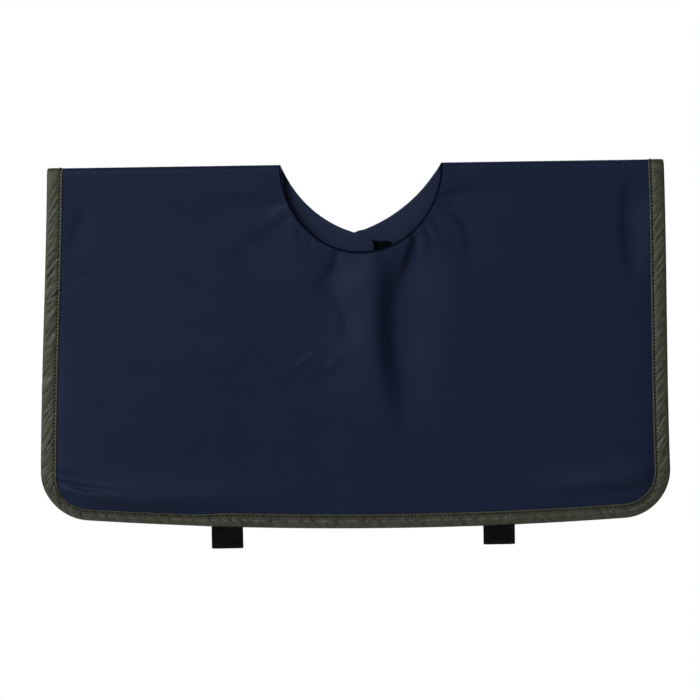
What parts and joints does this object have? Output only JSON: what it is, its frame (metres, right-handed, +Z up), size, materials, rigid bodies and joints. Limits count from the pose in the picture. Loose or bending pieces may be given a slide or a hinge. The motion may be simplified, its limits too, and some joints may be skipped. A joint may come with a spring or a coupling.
{
  "type": "dental lead apron",
  "caption": "Cape-style dental lead apron folded over the shoulders, with bound edges, an overlapping hook-and-loop nape closure and webbing hanging loops at the hem.",
  "frame": {"origin": "middle of the underside of the shoulder fold, where the apron hangs on shoulders, a rail or a hanger", "axes": "+Z up, -Y out of the front panel, +X to the right of someone who faces the front panel"},
  "size_m": [0.698, 0.0223, 0.4258],
  "materials": {
    "cover_fabric": "navy coated nylon, fine plain weave under a smooth satin coating",
    "lining_fabric": "navy coated nylon, fine plain weave, slightly duller than the cover",
    "lead_vinyl": "matte lead-loaded vinyl sheet",
    "binding_tape": "olive-grey folded nylon tape, fine cross ribs, slightly puckered by its seam",
    "binding_thread": "olive bonded polyester thread, lock-stitched",
    "webbing": "black nylon webbing, ribbed weave",
    "webbing_thread": "black bonded thread, dense bar tack",
    "hook_tape": "black nylon hook tape",
    "loop_tape": "black brushed loop tape",
    "closure_thread": "black thread"
  },
  "bodies": {
    "front": {"front_cover": "cover_fabric", "front_lead_ply_outer": "lead_vinyl", "front_lead_ply_inner": "lead_vinyl", "front_lining": "lining_fabric", "front_binding": "binding_tape", "front_binding_stitching": "binding_thread", "left_loop_tails": "webbing", "left_loop_bar_tack": "webbing_thread", "right_loop_tails": "webbing", "right_loop_bar_tack": "webbing_thread"},
    "back_left": {"back_left_cover": "cover_fabric", "back_left_lead_ply_outer": "lead_vinyl", "back_left_lead_ply_inner": "lead_vinyl", "back_left_lining": "lining_fabric", "back_left_binding": "binding_tape", "back_left_binding_stitching": "binding_thread", "back_left_loop_tape": "loop_tape", "back_left_loop_tape_stitching": "closure_thread"},
    "back_right": {"back_right_cover": "cover_fabric", "back_right_lead_ply_outer": "lead_vinyl", "back_right_lead_ply_inner": "lead_vinyl", "back_right_lining": "lining_fabric", "back_right_binding": "binding_tape", "back_right_binding_stitching": "binding_thread"},
    "nape_corner": {"nape_corner_cover": "cover_fabric", "nape_corner_lead_ply_outer": "lead_vinyl", "nape_corner_lead_ply_inner": "lead_vinyl", "nape_corner_lining": "lining_fabric", "nape_corner_hook_tape": "hook_tape", "nape_corner_hook_tape_stitching": "closure_thread"},
    "left_loop": {"left_hanger_loop": "webbing"},
    "right_loop": {"right_hanger_loop": "webbing"}
  },
  "joints": [
    {"name": "back_right_fold", "type": "hinge", "parent": "front", "child": "back_right", "pos_m": [0, 0, 0.0032], "axis": [1, 0, 0], "range_deg": [0, 180]},
    {"name": "back_left_fold", "type": "hinge", "parent": "front", "child": "back_left", "pos_m": [0, 0, 0.0032], "axis": [1, 0, 0], "range_deg": [0, 180]},
    {"name": "nape_closure_peel", "type": "hinge", "parent": "back_right", "child": "nape_corner", "pos_m": [-0.0095, 0.01335, -0.2351], "axis": [-0.3835, 0, -0.9236], "range_deg": [0, 150]},
    {"name": "left_loop_swing", "type": "hinge", "parent": "front", "child": "left_loop", "pos_m": [-0.1485, -0.0035, -0.4022], "axis": [1, 0, 0], "range_deg": [-70, 70]},
    {"name": "right_loop_swing", "type": "hinge", "parent": "front", "child": "right_loop", "pos_m": [0.1535, -0.0035, -0.4022], "axis": [1, 0, 0], "range_deg": [-70, 70]}
  ],
  "couplings": [
    {"joint": "back_left_fold", "follows": "back_right_fold", "ratio": 1}
  ]
}
